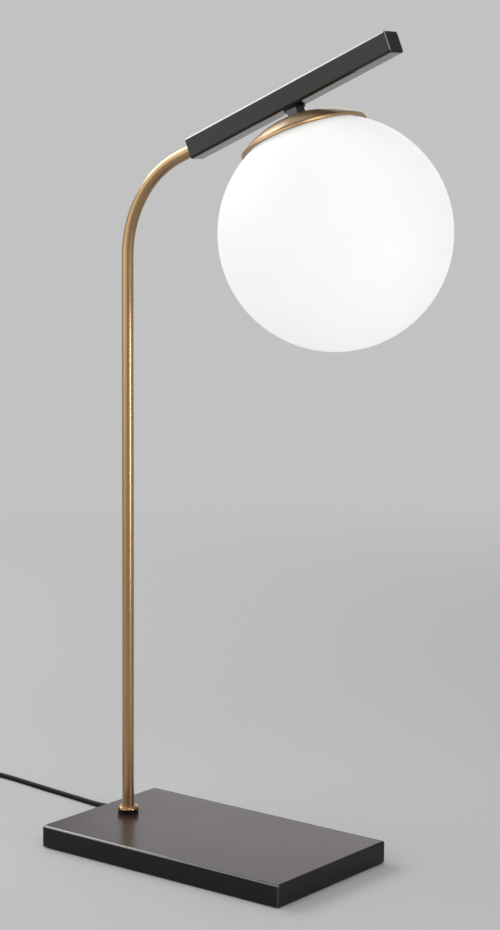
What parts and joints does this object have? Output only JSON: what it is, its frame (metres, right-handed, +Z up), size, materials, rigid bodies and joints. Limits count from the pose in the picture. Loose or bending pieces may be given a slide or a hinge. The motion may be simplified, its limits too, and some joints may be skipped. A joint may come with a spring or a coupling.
{
  "type": "table lamp",
  "caption": "Table lamp with a flat rectangular base, a slim stem bent at the top, a square arm, and a round opal globe under a domed canopy, with a switched mains lead.",
  "frame": {"origin": "middle of the base's underside, on the surface that the lamp stands on", "axes": "+Z up; +X along the base's long side, from the stem towards the globe; +Y towards the back, where the lead leaves the left side"},
  "size_m": [0.5843, 0.2037, 0.6654],
  "materials": {
    "base_black": "satin black powder coat on steel",
    "arm_black": "satin black powder coat",
    "antique_brass": "satin antique brass",
    "zinc_steel": "zinc plated",
    "opal_glass": "smooth opal white",
    "silicone": "translucent white silicone",
    "pad_rubber": "matt foam rubber",
    "black_nylon": "matt moulded",
    "black_rubber": "soft matt",
    "holder_plastic": "moulded thermoset",
    "ceramic": "glazed ceramic",
    "contact_brass": "bright stamped",
    "nickel": "nickel plated",
    "bulb_white": "smooth white",
    "bulb_diffuser": "frosted white",
    "cord_black": "smooth PVC sheath",
    "wire_brown": "PVC insulation",
    "wire_blue": "PVC insulation",
    "switch_black": "fine moulded grain",
    "rocker_black": "polished moulded",
    "plug_black": "moulded PVC"
  },
  "bodies": {
    "root": {"base_plate": "base_black", "base_pad": "pad_rubber", "base_cover": "base_black", "base_cover_screws": "zinc_steel", "cord_clamp": "black_nylon", "cord_clamp_screws": "zinc_steel", "cord_inner_end": "cord_black", "cord_strain_relief": "black_rubber", "stem_tube": "antique_brass", "stem_collar": "antique_brass", "stem_washer": "arm_black", "stem_lock_washer": "zinc_steel", "stem_nut": "zinc_steel", "stem_end_bush": "black_nylon", "arm_tube": "arm_black", "arm_socket": "zinc_steel", "arm_grub_screws": "zinc_steel", "arm_end_cap": "arm_black", "arm_nipple": "zinc_steel", "nipple_nut": "zinc_steel", "nipple_lock_washer": "zinc_steel", "arm_washer": "arm_black", "hex_coupler": "arm_black", "canopy": "antique_brass", "canopy_nut": "zinc_steel", "globe_carrier": "zinc_steel", "carrier_nut": "zinc_steel", "holder_cap": "holder_plastic", "holder_body": "holder_plastic", "holder_insert": "ceramic", "holder_terminals": "contact_brass", "holder_terminal_screws": "zinc_steel", "holder_thread_shell": "contact_brass", "holder_centre_contact": "contact_brass", "bulb_contact": "nickel", "bulb_cap": "nickel", "bulb_housing": "bulb_white", "bulb_dome": "bulb_diffuser", "live_wire": "wire_brown", "neutral_wire": "wire_blue", "cord_lead": "cord_black", "cord_link": "cord_black", "cord_coil": "cord_black", "cord_tail": "cord_black", "coil_tie": "black_nylon", "switch_case_lower": "switch_black", "switch_case_upper": "switch_black", "switch_contacts": "contact_brass", "switch_cord_saddles": "switch_black", "switch_screws": "zinc_steel", "plug_body": "plug_black", "plug_pins": "nickel", "plug_pin_sleeves": "plug_black"},
    "globe_body": {"globe": "opal_glass", "globe_collar": "zinc_steel", "globe_seal": "silicone"},
    "rocker_body": {"switch_rocker": "rocker_black"}
  },
  "joints": [
    {"name": "globe_twist", "type": "hinge", "parent": "root", "child": "globe_body", "pos_m": [0.11776, 0, 0.51419], "axis": [0.3907, 0, -0.9205], "range_deg": [0, 45]},
    {"name": "switch_rock", "type": "hinge", "parent": "root", "child": "rocker_body", "pos_m": [-0.306, -0.018, 0.0145], "axis": [0, -1, 0], "range_deg": [0, 20]}
  ]
}
